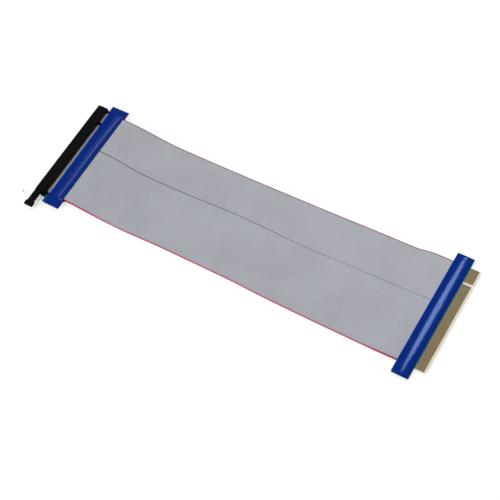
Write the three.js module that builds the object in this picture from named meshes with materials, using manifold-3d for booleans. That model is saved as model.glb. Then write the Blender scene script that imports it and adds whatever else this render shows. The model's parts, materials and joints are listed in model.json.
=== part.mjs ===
// A flat ribbon extender for a 16-lane expansion card. A card-edge slot with an ejector latch stands on
// one small board, a gold-fingered tongue on the other, and two layers of flat ribbon cable join them.
// Each layer is a wide and a narrow ribbon side by side, and a sleeve of blue tape binds each board.
// Millimetres. +X runs along the ribbons from the slot's mouth to the plug's tip, +Y across them towards
// the key, +Z up from the table that the extender lies on.
import * as THREE from "three";
import { mergeGeometries, mergeVertices } from "three/addons/utils/BufferGeometryUtils.js";
import Module from "manifold-3d";

// Contact grid, shared by the slot and the plug
const contactPitch = 1.0;
const shortRowContacts = 11;
const longRowContacts = 71;
const keySpan = 3.0; // centre to centre of the two contacts beside the key

// Clearances
const seatGap = 0.1; // between pieces that lie on one another
const runningGap = 0.3; // each side of the latch between its cheeks
const pivotGap = 0.15; // round the latch's trunnions
const cutOverrun = 1.0; // how far a cut or a root runs past the face that it crosses

// Slot housing, whose mouth is at x = 0
const housingThickness = 7.7;
const housingBody = 9.1; // from the mouth to the underside that the contacts leave
const housingHeight = 11.25; // from the mouth to the ends of the feet
const housingEndWall = 1.975;
const cavityDepth = 8.2;
const cavityClearance = 0.23; // on the thickness of a card
const cavityEndMargin = 1.025; // past the centre of the last contact
const keyWall = 1.75;
const keyRecess = 0.5; // the key stops short of the mouth
const mouthChamfer = 0.6;
const housingCorner = 0.4;
const cavityFloor = 0.8; // thickness of the web that a card bottoms on
const cavityFloorWidth = 1.0;
const cavityFloorSink = 0.44; // how far the web runs into the end walls
const grooveWidth = 0.64;
const grooveDepth = 0.45;
const grooveStart = 1.2; // below the mouth
const footRise = 2.9; // from the board's middle plane to the outside of a foot
const footSink = 0.5; // how far a foot's root runs into the housing
const endFootInset = 0.2; // from the housing's end face
const endFootLength = 2.2; // at the root
const endFootTaper = 1.1; // how much shorter the tip is
const keyFootLength = 1.9;
const nubLength = 1.7;
const nubHeight = 2.1;
const nubWidth = 2.6;

// Fork and ejector latch at the end of the long row
const cheekThickness = 1.25;
const cheekInset = 0.5; // below the housing's side faces
const armStart = 0.3; // below the mouth
const armHeight = 5.7;
const armLength = 10.8;
const forkHeadStart = -0.6; // the head stands this far proud of the mouth
const forkHeadHeight = 7.9;
const forkHeadLength = 4.3;
const forkCorner = 0.6;
const lowerCheekWidth = 3.8; // the lower cheek is a plain arm with a round end
const pivotInset = 2.6; // from the head's end to the pivot
const trunnionRadius = 0.95;
const socketSkin = 0.35; // of a cheek, outside the socket of a trunnion
const latchRoot = 2.35; // past the pivot
const latchElbow = 4.2; // from the pivot to where the stem and the foot part
const latchReach = 17.0; // from the pivot to the end of the stem
const latchLean = 0.42; // sideways for each millimetre of height
const latchStemWidth = 2.3;
const latchTipRound = 0.7;
const hookBarb = 1.5; // how far the hook stands out
const hookLength = 2.6; // along the stem
const hookSlope = 0.9; // of its outer side
const ejectorReach = 10.7;
const ejectorTop = 1.7; // below the pivot
const ejectorBottom = 3.65;

// Contacts
const contactWidth = 0.46;
const contactThickness = 0.25;
const contactTip = 2.6; // below the mouth
const contactTipOffset = 0.62; // from the card's middle plane
const contactBend = 8.3;
const contactTail = 13.6;
const contactWeld = 0.03; // how far a tail sinks into its solder

// Boards
const boardThickness = 1.57;
const boardCorner = 0.6;
const slotBoardEdge = 10.0; // below the mouth
const slotBoardWidth = 15.4;
const slotBoardPastFar = 8.0; // past the last contact of the short row
const slotBoardPastNear = 9.0;
const plugBoardWidth = 12.4;
const plugBoardPastFar = 8.1;
const plugBoardPastNear = 9.8;
const boardSpacing = 294.4; // between the boards' inner edges

// Tongue of the plug
const tongueLength = 8.4;
const tongueEndMargin = 0.95; // past the centre of the last finger
const tongueCorner = 0.7;
const notchWidth = 1.9;
const bevelLength = 1.2;
const bevelDepth = 0.38;
const fingerWidth = 0.7;
const fingerLength = 5.8;
const fingerStep = 1.2; // how much shorter the card-detect fingers are
const fingerThickness = 0.06;
const fingerSink = 0.1; // how far a finger's root runs into the board
const fingerInset = 1.25; // from the tip
const upperShortFingers = [1]; // counted from the key end
const lowerShortFingers = [17, 31, 48, 81];

// Ribbons, whose wires keep the contacts' pitch
const narrowWires = 34;
const wideWires = shortRowContacts + longRowContacts + 2 - narrowWires; // two wires more than contacts
const ribbonThickness = 0.9;
const ribbonValley = 0.27; // depth of the groove between two wires
const ribbonSeam = 0.3; // between the two ribbons of a layer
const ribbonLap = 3.8; // how far a ribbon lies over a board
const ribbonTableGap = 0.1;
const ribbonLead = 1.0; // straight length outside the tape
const slotRunout = 50; // length over which a ribbon comes down to the table
const plugRunout = 34;
const farDrift = 2.0; // how far the ribbons' far edges shift sideways between the boards
const seamDrift = 1.2;
const nearDrift = 0.3;

// Tape sleeves
const tapeThickness = 0.2;
const tapeOverhang = 1.0; // past the slot board's inner edge
const tapeStartFar = 11.4; // below the mouth, at the key end
const tapeStartNear = 12.3;
const tapeRise = 1.8; // length over which the tape climbs on to the ribbons
const tapeSlope = 2.2; // the same, sideways past the ribbons' edges
const tapeOverWires = 1.2; // height of the tape's inside over the soldered tails
const plugTapeOverhang = 0.4;
const tapeShoulder = 0.5; // width of the sloping shoulder at each end of a sleeve
const plugTapeEndDrop = 0.5; // how much lower the plug's sleeve is at its ends

const smooth = (t) => {
  const s = Math.min(1, Math.max(0, t));
  return s * s * (3 - 2 * s);
};

const farContact = keySpan / 2 + (shortRowContacts - 1) * contactPitch;
const nearContact = -keySpan / 2 - (longRowContacts - 1) * contactPitch;
const contactPlaces = [
  ...Array.from({ length: shortRowContacts }, (_, i) => farContact - i * contactPitch),
  ...Array.from({ length: longRowContacts }, (_, i) => -keySpan / 2 - i * contactPitch),
];

const slotMiddle = housingThickness / 2;
const ribbonStack = boardThickness / 2 + seatGap + ribbonThickness; // from a board's middle to a ribbon's outside
const plugMiddle = ribbonStack + seatGap + tapeThickness;
const slotBoardInner = slotBoardEdge + slotBoardWidth;
const plugBoardInner = slotBoardInner + boardSpacing;
const tongueRoot = plugBoardInner + plugBoardWidth;
const plugTip = tongueRoot + tongueLength;
const housingFar = farContact + cavityEndMargin + housingEndWall;
const housingNear = nearContact - cavityEndMargin - housingEndWall;
const ribbonFar = farContact + contactPitch / 2;
const ribbonSplit = ribbonFar - narrowWires * contactPitch;
const ribbonNear = ribbonSplit - wideWires * contactPitch;

const wasm = await Module();
wasm.setup();

// A closed geometry as a solid that can be joined and cut.
function toSolid(geometry) {
  const bare = geometry.clone();
  for (const name of ["normal", "uv"]) bare.deleteAttribute(name);
  const merged = mergeVertices(bare, 1e-4);
  return new wasm.Manifold(
    new wasm.Mesh({
      numProp: 3,
      vertProperties: new Float32Array(merged.attributes.position.array),
      triVerts: new Uint32Array(merged.index.array),
    }),
  );
}

function toGeometry(solid) {
  const mesh = solid.getMesh();
  const geometry = new THREE.BufferGeometry();
  geometry.setAttribute("position", new THREE.BufferAttribute(new Float32Array(mesh.vertProperties), 3));
  geometry.setIndex(new THREE.BufferAttribute(new Uint32Array(mesh.triVerts), 1));
  geometry.computeVertexNormals();
  return geometry;
}

// A block between two corners.
function block(low, high) {
  const size = high.map((h, i) => h - low[i]);
  const geometry = new THREE.BoxGeometry(...size);
  return geometry.translate(...low.map((l, i) => l + size[i] / 2)).toNonIndexed();
}

// A plan outline, drawn in x and y, raised from one height to another.
function plate(outline, low, high, curveSegments = 5) {
  const options = { depth: high - low, bevelEnabled: false, curveSegments };
  return new THREE.ExtrudeGeometry(outline, options).translate(0, 0, low);
}

// A side profile, drawn in x and z, drawn out along y.
function bar(profile, near, far) {
  const options = { depth: far - near, bevelEnabled: false, curveSegments: 2 };
  const geometry = new THREE.ExtrudeGeometry(profile, options);
  return geometry.rotateX(Math.PI / 2).translate(0, far, 0);
}

function roundedOutline(x0, y0, x1, y1, radius) {
  const shape = new THREE.Shape();
  shape.moveTo(x0 + radius, y0);
  shape.lineTo(x1 - radius, y0);
  shape.absarc(x1 - radius, y0 + radius, radius, -Math.PI / 2, 0);
  shape.lineTo(x1, y1 - radius);
  shape.absarc(x1 - radius, y1 - radius, radius, 0, Math.PI / 2);
  shape.lineTo(x0 + radius, y1);
  shape.absarc(x0 + radius, y1 - radius, radius, Math.PI / 2, Math.PI);
  shape.lineTo(x0, y0 + radius);
  shape.absarc(x0 + radius, y0 + radius, radius, Math.PI, 1.5 * Math.PI);
  return shape;
}

// A bent strip of even thickness that follows a path of [x, z] points.
function stripProfile(path, thickness) {
  const points = path.map(([x, z]) => new THREE.Vector2(x, z));
  const offsets = points.map((point, i) => {
    const before = i > 0 ? point.clone().sub(points[i - 1]).normalize() : null;
    const after = i < points.length - 1 ? points[i + 1].clone().sub(point).normalize() : null;
    const along = (before ?? after).clone().add(after ?? before).normalize();
    const mitre = along.dot(before ?? after);
    return new THREE.Vector2(-along.y, along.x).multiplyScalar(thickness / 2 / mitre);
  });
  const outside = points.map((point, i) => point.clone().add(offsets[i]));
  const inside = points.map((point, i) => point.clone().sub(offsets[i])).reverse();
  return new THREE.Shape([...outside, ...inside]);
}

// The hollow that a card enters, from one y to another, with a funnel at the mouth.
function cavity(near, far, half) {
  const rim = (x, spread) => [
    [x, near - spread, slotMiddle - half - spread],
    [x, far + spread, slotMiddle - half - spread],
    [x, far + spread, slotMiddle + half + spread],
    [x, near - spread, slotMiddle + half + spread],
  ];
  return loft([
    rim(-cutOverrun, mouthChamfer),
    rim(0, mouthChamfer),
    rim(mouthChamfer, 0),
    rim(housingBody + cutOverrun, 0),
  ]);
}

// A skin over cross-sections of equally many [x, y, z] points, closed by a cap at each end. Each section
// runs anticlockwise as seen from the far end of the loft.
function loft(sections) {
  const count = sections[0].length;
  const index = [];
  for (let s = 0; s < sections.length - 1; s++) {
    for (let i = 0; i < count; i++) {
      const a = s * count + i;
      const b = s * count + ((i + 1) % count);
      index.push(a, b, b + count, a, b + count, a + count);
    }
  }
  const flat = sections[0].map(([, y, z]) => new THREE.Vector2(y, z));
  const last = (sections.length - 1) * count;
  for (const [a, b, c] of THREE.ShapeUtils.triangulateShape(flat, [])) {
    index.push(c, b, a, last + a, last + b, last + c);
  }
  const geometry = new THREE.BufferGeometry();
  geometry.setAttribute("position", new THREE.Float32BufferAttribute(sections.flat(2), 3));
  geometry.setIndex(index);
  return geometry.toNonIndexed();
}

// A tube wall between rings of inner and outer points, open at both ends.
function sleeve(stations) {
  const count = stations[0].inner.length;
  const ring = 2 * count;
  const points = stations.flatMap(({ inner, outer }) => [...outer, ...inner]);
  const index = [];
  const quad = (a, b, c, d) => index.push(a, b, c, a, c, d);
  const last = (stations.length - 1) * ring;
  for (let i = 0; i < count; i++) {
    const next = (i + 1) % count;
    for (let s = 0; s < stations.length - 1; s++) {
      const here = s * ring;
      const ahead = here + ring;
      quad(here + i, here + next, ahead + next, ahead + i);
      quad(here + count + next, here + count + i, ahead + count + i, ahead + count + next);
    }
    quad(next, i, count + i, count + next);
    quad(last + i, last + next, last + count + next, last + count + i);
  }
  const geometry = new THREE.BufferGeometry();
  geometry.setAttribute("position", new THREE.Float32BufferAttribute(points.flat(), 3));
  geometry.setIndex(index);
  return geometry.toNonIndexed();
}

const group = new THREE.Group();

function addPiece(name, geometry, finish) {
  const piece = new THREE.Mesh(geometry, new THREE.MeshStandardMaterial(finish));
  piece.name = name;
  group.add(piece);
}

const blackMoulding = { color: 0x121215, roughness: 0.55, metalness: 0 };
const paleNylon = { color: 0xe9e8e2, roughness: 0.45, metalness: 0 };
const greenBoard = { color: 0x0c5a3c, roughness: 0.4, metalness: 0 };
const blueTape = { color: 0x0a2f9a, roughness: 0.28, metalness: 0 };
const greyRibbon = { color: 0xa9adb5, roughness: 0.6, metalness: 0 };

const cheekFace = slotMiddle - cheekInset; // from the slot's middle plane to the outside of a cheek
const pivot = {
  x: forkHeadStart + forkHeadHeight / 2,
  y: housingNear - armLength - forkHeadLength + pivotInset,
};

// The moulded slot: a long block with the card cavity, the key across it, a groove for every contact,
// feet that straddle the board, and the fork that carries the latch.
function slotHousing() {
  const cavityHalf = (boardThickness + cavityClearance) / 2;
  const cavities = [
    [nearContact - cavityEndMargin, -keyWall / 2],
    [keyWall / 2, farContact + cavityEndMargin],
  ];
  const profile = roundedOutline(0, 0, housingBody, housingThickness, housingCorner);
  let body = toSolid(bar(profile, housingNear, housingFar));
  for (const [near, far] of cavities) body = body.subtract(toSolid(cavity(near, far, cavityHalf)));
  const keyDip = cavityHalf + mouthChamfer / 2;
  const keyCut = block(
    [-cutOverrun, -keyWall, slotMiddle - keyDip],
    [keyRecess, keyWall, slotMiddle + keyDip],
  );
  body = body.subtract(toSolid(keyCut));
  const grooves = contactPlaces.flatMap((y) =>
    [-1, 1].map((side) => {
      const levels = [cavityHalf / 2, cavityHalf + grooveDepth].map((rise) => slotMiddle + side * rise);
      return block(
        [grooveStart, y - grooveWidth / 2, Math.min(...levels)],
        [housingBody + cutOverrun, y + grooveWidth / 2, Math.max(...levels)],
      );
    }),
  );
  body = body.subtract(toSolid(mergeGeometries(grooves)));
  for (const [near, far] of cavities) {
    const web = block(
      [cavityDepth, near - cavityFloorSink, slotMiddle - cavityFloorWidth / 2],
      [cavityDepth + cavityFloor, far + cavityFloorSink, slotMiddle + cavityFloorWidth / 2],
    );
    body = body.add(toSolid(web));
  }
  body = body.add(toSolid(mergeGeometries(housingFeet())));
  for (const cheek of forkCheeks()) body = body.add(toSolid(cheek));
  body = body.subtract(toSolid(trunnionBar(trunnionRadius + pivotGap, cheekFace - socketSkin)));
  return toGeometry(body);
}

// A bar along the latch's axis that reaches equally far above and below the slot's middle plane.
function trunnionBar(radius, reach) {
  const bar = new THREE.CylinderGeometry(radius, radius, 2 * reach, 20);
  return bar.rotateX(Math.PI / 2).translate(pivot.x, pivot.y, slotMiddle);
}

// Feet above and below the board at both ends and at the key, and the nub below the fork.
function housingFeet() {
  const root = housingBody - footSink;
  const endFoot = (outer, inward) => {
    const inner = outer + inward * endFootLength;
    return new THREE.Shape([
      new THREE.Vector2(root, inner),
      new THREE.Vector2(root, outer),
      new THREE.Vector2(housingBody, outer),
      new THREE.Vector2(housingHeight, outer + inward * endFootTaper),
      new THREE.Vector2(housingHeight, inner),
    ]);
  };
  const keyHalf = keyFootLength / 2;
  const keyFoot = new THREE.Shape([
    new THREE.Vector2(root, -keyHalf),
    new THREE.Vector2(housingHeight, -keyHalf),
    new THREE.Vector2(housingHeight, keyHalf),
    new THREE.Vector2(root, keyHalf),
  ]);
  const feet = [
    endFoot(housingFar - endFootInset, -1),
    endFoot(housingNear + endFootInset, 1),
    keyFoot,
  ];
  const low = boardThickness / 2 + seatGap;
  const legs = feet.flatMap((foot) => [
    plate(foot, slotMiddle + low, slotMiddle + footRise),
    plate(foot, slotMiddle - footRise, slotMiddle - low),
  ]);
  const nubEnd = slotBoardEdge - runningGap;
  const nub = block(
    [nubEnd - nubHeight, housingNear - nubLength, slotMiddle - nubWidth / 2],
    [nubEnd, housingNear + cutOverrun, slotMiddle + nubWidth / 2],
  );
  return [...legs, nub];
}

// The two cheeks of the fork that the latch pivots in: the upper has a wide head, the lower a round end.
function forkCheeks() {
  const headNear = housingNear - armLength - forkHeadLength;
  const headFar = housingNear - armLength;
  const armEnd = armStart + armHeight;
  const headEnd = forkHeadStart + forkHeadHeight;
  const root = housingNear + cutOverrun;
  const outline = new THREE.Shape();
  outline.moveTo(armStart, root);
  outline.lineTo(armStart, headFar);
  outline.lineTo(forkHeadStart + forkCorner, headFar);
  outline.absarc(forkHeadStart + forkCorner, headFar - forkCorner, forkCorner, Math.PI / 2, Math.PI);
  outline.absarc(forkHeadStart + forkCorner, headNear + forkCorner, forkCorner, Math.PI, 1.5 * Math.PI);
  outline.absarc(headEnd - forkCorner, headNear + forkCorner, forkCorner, -Math.PI / 2, 0);
  outline.absarc(headEnd - forkCorner, headFar - forkCorner, forkCorner, 0, Math.PI / 2);
  outline.lineTo(armEnd, headFar);
  outline.lineTo(armEnd, root);
  const lowerHalf = lowerCheekWidth / 2;
  const lowerOutline = new THREE.Shape();
  lowerOutline.moveTo(pivot.x + lowerHalf, root);
  lowerOutline.lineTo(pivot.x - lowerHalf, root);
  lowerOutline.absarc(pivot.x, pivot.y, lowerHalf, Math.PI, 2 * Math.PI);
  return [
    plate(lowerOutline, slotMiddle - cheekFace, slotMiddle - cheekFace + cheekThickness),
    plate(outline, slotMiddle + cheekFace - cheekThickness, slotMiddle + cheekFace),
  ];
}

// The ejector latch: a leaning stem with a hook, a foot that the card presses, and two trunnions.
function latchLever() {
  const along = new THREE.Vector2(-1, latchLean).normalize();
  const across = new THREE.Vector2(along.y, -along.x);
  const half = latchStemWidth / 2;
  const onStem = (distance, step) => [
    pivot.x + distance * along.x + step * across.x,
    pivot.y + distance * along.y + step * across.y,
  ];
  const onFoot = (depth, reach) => [pivot.x + depth, pivot.y + reach];
  const outline = new THREE.Shape();
  outline.moveTo(...onFoot(ejectorBottom, ejectorReach - latchTipRound));
  outline.lineTo(...onFoot(ejectorBottom, 0));
  outline.quadraticCurveTo(...onFoot(ejectorBottom, -latchRoot), ...onFoot(ejectorTop / 2, -latchRoot));
  outline.quadraticCurveTo(...onFoot(-ejectorTop / 2, -latchRoot), ...onStem(latchElbow, -half));
  outline.lineTo(...onStem(latchReach - latchTipRound, -half));
  outline.quadraticCurveTo(...onStem(latchReach, -half), ...onStem(latchReach, latchTipRound - half));
  outline.lineTo(...onStem(latchReach - hookSlope, half + hookBarb));
  outline.lineTo(...onStem(latchReach - hookLength, half));
  outline.lineTo(...onStem(latchElbow, half));
  outline.quadraticCurveTo(...onFoot(0, latchStemWidth), ...onFoot(ejectorTop, latchElbow));
  outline.lineTo(...onFoot(ejectorTop, ejectorReach));
  outline.lineTo(...onFoot(ejectorBottom - latchTipRound, ejectorReach));
  const leverHalf = cheekFace - cheekThickness - runningGap;
  const lever = toSolid(plate(outline, slotMiddle - leverHalf, slotMiddle + leverHalf, 4));
  const trunnions = trunnionBar(trunnionRadius, cheekFace - socketSkin - runningGap);
  return toGeometry(lever.add(toSolid(trunnions)));
}

// The slot's board with the contacts soldered to both of its faces.
function slotBoard() {
  const outline = roundedOutline(
    slotBoardEdge,
    nearContact - slotBoardPastNear,
    slotBoardInner,
    farContact + slotBoardPastFar,
    boardCorner,
  );
  const half = boardThickness / 2;
  const board = toSolid(plate(outline, slotMiddle - half, slotMiddle + half, 3));
  const seat = half + contactThickness / 2 - contactWeld;
  const contacts = [-1, 1].flatMap((side) => {
    const path = [
      [contactTip, slotMiddle + side * contactTipOffset],
      [contactBend, slotMiddle + side * seat],
      [contactTail, slotMiddle + side * seat],
    ];
    const profile = stripProfile(path, contactThickness);
    return contactPlaces.map((y) => bar(profile, y - contactWidth / 2, y + contactWidth / 2));
  });
  return toGeometry(board.add(toSolid(mergeGeometries(contacts))));
}

// The plug's board: a wide root under the tape and a notched, bevelled tongue with its gold fingers.
function plugBoard() {
  const rootNear = nearContact - plugBoardPastNear;
  const rootFar = farContact + plugBoardPastFar;
  const tongueNear = nearContact - tongueEndMargin;
  const tongueFar = farContact + tongueEndMargin;
  const notchEnd = notchWidth / 2;
  const outline = new THREE.Shape();
  outline.moveTo(plugBoardInner, rootNear);
  outline.lineTo(tongueRoot, rootNear);
  outline.lineTo(tongueRoot, tongueNear);
  outline.lineTo(plugTip - tongueCorner, tongueNear);
  outline.lineTo(plugTip, tongueNear + tongueCorner);
  outline.lineTo(plugTip, -notchEnd);
  outline.lineTo(tongueRoot + notchEnd, -notchEnd);
  outline.absarc(tongueRoot + notchEnd, 0, notchEnd, -Math.PI / 2, Math.PI / 2, true);
  outline.lineTo(plugTip, notchEnd);
  outline.lineTo(plugTip, tongueFar - tongueCorner);
  outline.lineTo(plugTip - tongueCorner, tongueFar);
  outline.lineTo(tongueRoot, tongueFar);
  outline.lineTo(tongueRoot, rootFar);
  outline.lineTo(plugBoardInner, rootFar);
  const half = boardThickness / 2;
  let board = toSolid(plate(outline, plugMiddle - half, plugMiddle + half, 4));
  const bevel = (side) =>
    new THREE.Shape([
      new THREE.Vector2(plugTip - bevelLength, plugMiddle + side * half),
      new THREE.Vector2(plugTip + bevelLength, plugMiddle + side * (half - 2 * bevelDepth)),
      new THREE.Vector2(plugTip + bevelLength, plugMiddle + side * (half + cutOverrun)),
      new THREE.Vector2(plugTip - bevelLength, plugMiddle + side * (half + cutOverrun)),
    ]);
  for (const side of [-1, 1]) board = board.subtract(toSolid(bar(bevel(side), rootNear, rootFar)));
  const fingers = [
    [1, upperShortFingers],
    [-1, lowerShortFingers],
  ].flatMap(([side, short]) =>
    contactPlaces.map((y, i) => {
      const levels = [half - fingerSink, half + fingerThickness].map((rise) => plugMiddle + side * rise);
      const tip = plugTip - fingerInset - (short.includes(i + 1) ? fingerStep : 0);
      const root = plugTip - fingerInset - fingerLength;
      return block(
        [root, y - fingerWidth / 2, Math.min(...levels)],
        [tip, y + fingerWidth / 2, Math.max(...levels)],
      );
    }),
  );
  return toGeometry(board.add(toSolid(mergeGeometries(fingers))));
}

// The places along x where a ribbon's route is worked out: close together where it bends.
const ribbonStart = slotBoardInner - ribbonLap;
const ribbonEnd = plugBoardInner + ribbonLap;
const slotExit = slotBoardInner + tapeOverhang + ribbonLead;
const plugExit = plugBoardInner - plugTapeOverhang - ribbonLead;
const routePlaces = [
  ribbonStart,
  slotExit,
  slotExit + slotRunout,
  plugExit - plugRunout,
  plugExit,
  ribbonEnd,
];

// How far a wire shifts sideways between the boards.
function drift(y) {
  if (y > ribbonSplit) return seamDrift + ((farDrift - seamDrift) * (y - ribbonSplit)) / (ribbonFar - ribbonSplit);
  return nearDrift + ((seamDrift - nearDrift) * (y - ribbonNear)) / (ribbonSplit - ribbonNear);
}

// One flat ribbon. Its outer face is ridged, a crest for each wire and a valley between two.
function ribbon(yFar, wires, side, seamSide) {
  const half = ribbonThickness / 2;
  const slotLevel = slotMiddle + side * (ribbonStack - half);
  const plugLevel = plugMiddle + side * (ribbonStack - half);
  const lowerLevel = ribbonTableGap + half;
  const tableLevel = side > 0 ? lowerLevel + ribbonThickness + seatGap : lowerLevel;
  const offSlot = (x) => smooth((x - slotExit) / slotRunout);
  const offPlug = (x) => smooth((plugExit - x) / plugRunout);
  const level = (x) =>
    tableLevel + (slotLevel - tableLevel) * (1 - offSlot(x)) + (plugLevel - tableLevel) * (1 - offPlug(x));
  const shift = (x, y) => -drift(y) * offSlot(x) * offPlug(x);
  const ridge = Array.from({ length: 2 * wires + 1 }, (_, i) => [
    yFar - (i * contactPitch) / 2,
    side * (i % 2 ? half : half - ribbonValley),
  ]);
  const edge = seamSide > 0 ? 0 : ridge.length - 1;
  ridge[edge] = [ridge[edge][0] - (seamSide * ribbonSeam) / 2, ridge[edge][1]];
  const last = ridge.length - 1;
  const section = [...ridge, [ridge[last][0], -side * half], [ridge[0][0], -side * half]];
  const facing = side > 0 ? section : section.reverse();
  const step = 1;
  const sections = routePlaces.map((x) => {
    const slope = Math.atan((level(x + step) - level(x - step)) / (2 * step));
    return facing.map(([y, z]) => [x - z * Math.sin(slope), y + shift(x, y), level(x) + z * Math.cos(slope)]);
  });
  return loft(sections);
}

// A sleeve of tape wound lengthwise round a board and the ribbon ends on it. insideAt gives the height
// of its inside above the board's middle plane.
function tapeSleeve({ leftAt, right, shares, near, far, middle, insideAt }) {
  const places = [
    near,
    near + tapeShoulder,
    ribbonNear - tapeSlope,
    ribbonNear - seatGap,
    ribbonFar + seatGap,
    ribbonFar + tapeSlope,
    far - tapeShoulder,
    far,
  ];
  const stations = shares.map((share) => {
    const spot = (y, side, wall) => {
      const x = leftAt(y) + share * (right - leftAt(y));
      const beyond = y === near ? -wall : y === far ? wall : 0;
      return [x, y + beyond, middle + side * (insideAt(x, y) + wall)];
    };
    const around = (wall) => [
      ...places.map((y) => spot(y, -1, wall)),
      ...[...places].reverse().map((y) => spot(y, 1, wall)),
    ];
    return { inner: around(0), outer: around(tapeThickness) };
  });
  return sleeve(stations);
}

// 1 over the ribbons and 0 past their edges.
const overRibbons = (y) =>
  smooth((y - ribbonNear + tapeSlope) / (tapeSlope - seatGap)) *
  smooth((ribbonFar + tapeSlope - y) / (tapeSlope - seatGap));

const tapeOverBoard = boardThickness / 2 + seatGap;
const tapeOverRibbons = ribbonStack + seatGap;

function slotTape() {
  const near = nearContact - slotBoardPastNear - seatGap;
  const far = farContact + slotBoardPastFar + seatGap;
  const right = slotBoardInner + tapeOverhang;
  const climb = ribbonStart - tapeRise - seatGap;
  return tapeSleeve({
    leftAt: (y) => tapeStartNear + ((tapeStartFar - tapeStartNear) * (y - near)) / (far - near),
    right,
    shares: [0, 0.52, 0.65, 1],
    near,
    far,
    middle: slotMiddle,
    insideAt: (x, y) => {
      const crown = tapeOverWires + (tapeOverRibbons - tapeOverWires) * smooth((x - climb) / tapeRise);
      return tapeOverBoard + (crown - tapeOverBoard) * overRibbons(y);
    },
  });
}

function plugTape() {
  const near = nearContact - plugBoardPastNear - seatGap;
  const far = farContact + plugBoardPastFar + seatGap;
  const crest = ribbonEnd + seatGap;
  const right = tongueRoot - seatGap;
  return tapeSleeve({
    leftAt: () => plugBoardInner - plugTapeOverhang,
    right,
    shares: [0, 0.35, 0.55, 0.72, 0.87, 1],
    near,
    far,
    middle: plugMiddle,
    insideAt: (x, y) => {
      const down = Math.max(0, (x - crest) / (right - crest));
      const end = y === near || y === far ? plugTapeEndDrop : 0;
      return Math.max(tapeOverBoard, tapeOverRibbons - (tapeOverRibbons - tapeOverBoard) * down * down - end);
    },
  });
}

addPiece("slot_housing", slotHousing(), blackMoulding);
addPiece("latch_lever", latchLever(), paleNylon);
addPiece("slot_board", slotBoard(), greenBoard);
addPiece("plug_board", plugBoard(), greenBoard);
for (const [layer, side] of [
  ["upper", 1],
  ["lower", -1],
]) {
  addPiece(`ribbon_${layer}_narrow`, ribbon(ribbonFar, narrowWires, side, -1), greyRibbon);
  addPiece(`ribbon_${layer}_wide`, ribbon(ribbonSplit, wideWires, side, 1), greyRibbon);
}
addPiece("slot_tape", slotTape(), blueTape);
addPiece("plug_tape", plugTape(), blueTape);

// The origin is the middle of the whole extender's plan, on the table.
const bounds = new THREE.Box3().setFromObject(group);
const middle = bounds.getCenter(new THREE.Vector3());
group.position.set(-middle.x, -middle.y, -bounds.min.z);

export default group;
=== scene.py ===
"""A flat ribbon extender for expansion cards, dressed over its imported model.

Metres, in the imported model's own frame: +X from the slot to the plug, +Y towards the key, +Z up.
"""
import json
import math

import bmesh
import bpy
from bpy.props import FloatProperty, FloatVectorProperty, IntProperty, PointerProperty
from bpy.types import Operator, Panel, PropertyGroup
from mathutils import Matrix, Vector, noise


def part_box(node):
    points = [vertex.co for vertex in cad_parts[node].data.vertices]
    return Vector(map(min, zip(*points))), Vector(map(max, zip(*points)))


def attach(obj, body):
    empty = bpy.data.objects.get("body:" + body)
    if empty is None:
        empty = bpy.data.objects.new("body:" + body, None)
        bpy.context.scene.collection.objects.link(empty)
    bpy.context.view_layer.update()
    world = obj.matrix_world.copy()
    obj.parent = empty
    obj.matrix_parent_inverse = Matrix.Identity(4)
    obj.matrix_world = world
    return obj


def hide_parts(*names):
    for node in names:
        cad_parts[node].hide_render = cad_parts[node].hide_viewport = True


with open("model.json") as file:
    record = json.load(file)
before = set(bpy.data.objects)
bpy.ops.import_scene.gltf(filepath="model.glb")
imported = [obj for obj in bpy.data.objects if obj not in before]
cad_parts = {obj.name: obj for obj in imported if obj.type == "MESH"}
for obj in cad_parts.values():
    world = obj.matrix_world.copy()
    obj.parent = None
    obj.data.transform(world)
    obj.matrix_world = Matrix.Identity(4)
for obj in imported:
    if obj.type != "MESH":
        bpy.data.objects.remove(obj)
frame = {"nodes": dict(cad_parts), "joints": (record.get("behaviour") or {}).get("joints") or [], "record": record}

bl_info = {
    "name": "Riser cable",
    "version": (1, 0, 0),
    "blender": (4, 5, 0),
    "location": "3D View > Sidebar > Riser",
    "description": "Makes the looks of a flat ribbon riser cable over its packed model",
    "category": "Object",
}

MM = 0.001
EXTENDER = "extender"
LATCH = "latch"


def corners(box):
    """The low and the high corner of a box, as vectors."""
    return [Vector(corner) for corner in box]


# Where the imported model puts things
MOUNTS = {mount["name"]: mount for mount in frame["record"]["mounts"]}
PIVOT = Vector(frame["joints"][0]["pos_m"])
HOUSING_HIGH = corners(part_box("slot_housing"))[1]
PLUG_LOW, PLUG_HIGH = corners(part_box("plug_board"))
SLOT_BOARD_LOW, SLOT_BOARD_HIGH = corners(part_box("slot_board"))
MOUTH_X = MOUNTS["slot_mouth"]["pos_m"][0]
SLOT_MIDDLE = PIVOT.z
PLUG_MIDDLE = (PLUG_LOW.z + PLUG_HIGH.z) / 2
PLUG_TIP = PLUG_HIGH.x
KEY_FROM_END = 14.5 * MM
KEY_Y = HOUSING_HIGH.y - KEY_FROM_END

# A slot contact: x from the slot's mouth, z from the board's middle. Its spring stands inside the
# cavity, and its tail lies on the board in a bead of solder
SPRING = [(x * MM, z * MM) for x, z in ((2.3, 0.92), (2.8, 0.70), (3.4, 0.64), (4.2, 0.68))]
TAIL_START, TAIL_END = 8.3 * MM, 13.6 * MM
TAIL_GAP = 0.02 * MM
BEAD_START, BEAD_END = 10.7 * MM, 13.9 * MM
BEAD_HALF_WIDTH, BEAD_RISE = 0.38 * MM, 0.2 * MM

# The short fingers above and below, by number from the key's short end, and the share they lack
SHORT_FINGERS = ([1], [17, 31, 48, 81])
SHORTENING = 0.2
FINGER_CORNER, FINGER_SUNK = 0.16 * MM, 0.05 * MM

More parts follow.
